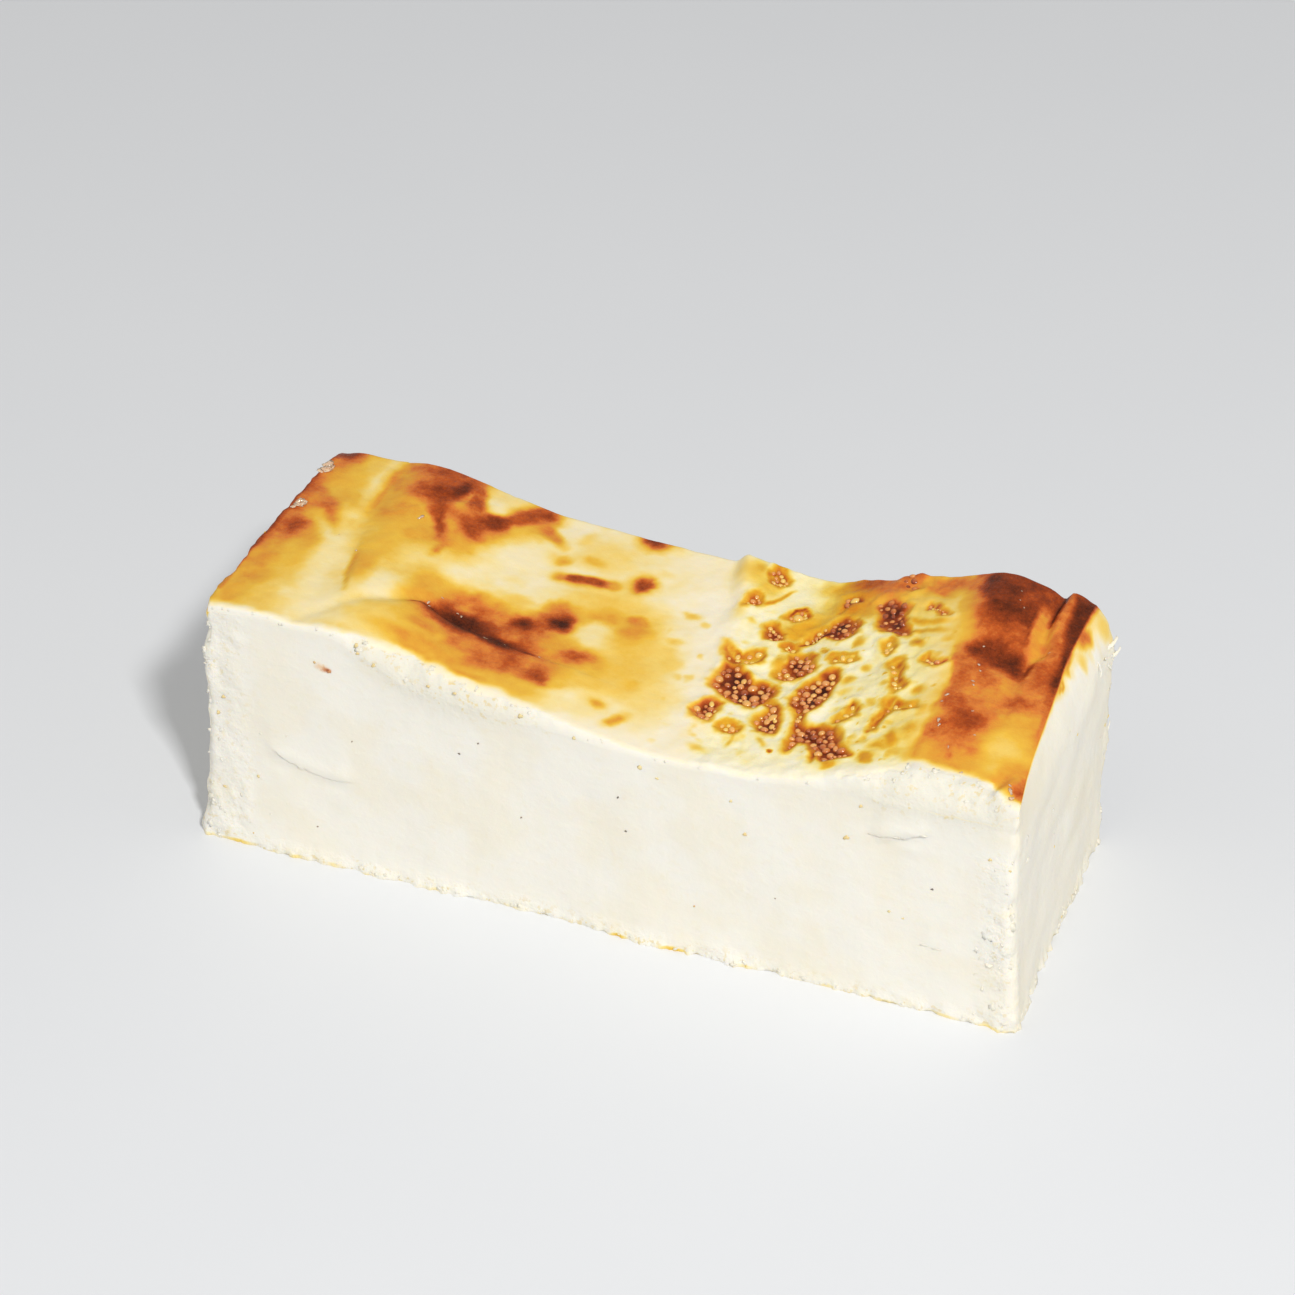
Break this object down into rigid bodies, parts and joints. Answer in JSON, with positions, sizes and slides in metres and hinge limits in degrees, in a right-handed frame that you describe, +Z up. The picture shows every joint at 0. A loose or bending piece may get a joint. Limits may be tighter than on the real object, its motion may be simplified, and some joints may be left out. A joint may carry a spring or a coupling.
{
  "type": "baked cheesecake bar",
  "caption": "Bar of baked cheesecake without a crust, with cut cream faces, a sagging browned and blistered top, and raised rims at both ends.",
  "frame": {"origin": "middle of the flat base, on the surface that the bar stands on", "axes": "+X along the bar towards the end with the darkest rim, +Y from the front cut to the back one, +Z up"},
  "size_m": [0.1891, 0.0729, 0.0655],
  "materials": {
    "baked_cream": "moist baked cream cheese, satin cut faces under a browned skin with a soft gloss",
    "burnt_bubbles": "glossy caramelised bubbles",
    "crumbs": "pale soft crumbs and flakes"
  },
  "bodies": {
    "root": {"cheesecake": "baked_cream"}
  },
  "joints": []
}
